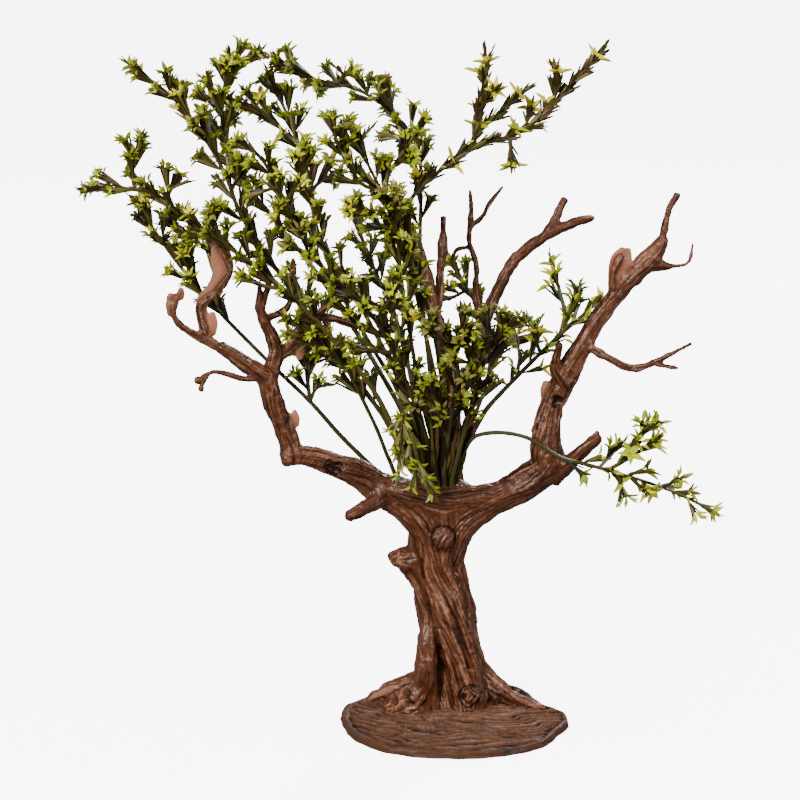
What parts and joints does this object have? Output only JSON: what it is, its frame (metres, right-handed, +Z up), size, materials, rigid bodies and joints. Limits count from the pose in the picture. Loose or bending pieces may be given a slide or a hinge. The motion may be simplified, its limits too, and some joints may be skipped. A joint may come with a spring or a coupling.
{
  "type": "model olive tree on an oval stand",
  "caption": "Moulded plastic model of an olive tree: gnarled brown trunk and bare boughs, sprigs of small pointed leaves planted in the fork, low oval stand.",
  "frame": {"origin": "middle of the flat underside of the stand, on the surface that it stands on", "axes": "+Z up, +X to the tree's right as seen from its front, -Y out of its front"},
  "size_m": [0.2247, 0.114, 0.2511],
  "materials": {
    "stand": "satin moulded plastic with engraved wood grain, mid brown worn darker along the rim",
    "trunk": "satin moulded plastic bark in flowing ridges, red-brown with a dark wash in the grooves",
    "boughs": "satin moulded plastic bark, red-brown, with thin pinkish tan mould flash along some edges",
    "foliage": "soft plastic sprigs, dark olive stems and sheaths, yellow-green leaf tips"
  },
  "bodies": {
    "root": {"bough_back": "boughs", "bough_back_bulge": "boughs", "bough_back_mid": "boughs", "bough_back_right": "boughs", "bough_left_inner": "boughs", "bough_left_inner_b": "boughs", "bough_left_low": "boughs", "bough_left_outer": "boughs", "bough_left_up": "boughs", "bough_left_upright": "boughs", "bough_right_low": "boughs", "bough_right_side": "boughs", "bough_right_up": "boughs", "fin_right": "boughs", "sprig_arch": "foliage", "sprig_back_left": "foliage", "sprig_back_mid": "foliage", "sprig_back_right": "foliage", "sprig_cross_top": "foliage", "sprig_crown_left": "foliage", "sprig_crown_mid": "foliage", "sprig_front_left": "foliage", "sprig_front_mid": "foliage", "sprig_front_right": "foliage", "sprig_hanging": "foliage", "sprig_left_front": "foliage", "sprig_left_high": "foliage", "sprig_left_inner": "foliage", "sprig_left_low": "foliage", "sprig_mid_top": "foliage", "sprig_right_low": "foliage", "sprig_right_mid": "foliage", "sprig_right_top": "foliage", "sprig_top_left": "foliage", "stand": "stand", "stub_back_right": "boughs", "stub_elbow_right": "boughs", "stub_inner_right": "boughs", "stub_under_left": "boughs", "stump_back": "boughs", "tip_right": "boughs", "trunk": "trunk", "twig_left": "boughs", "twig_right": "boughs"}
  },
  "joints": []
}
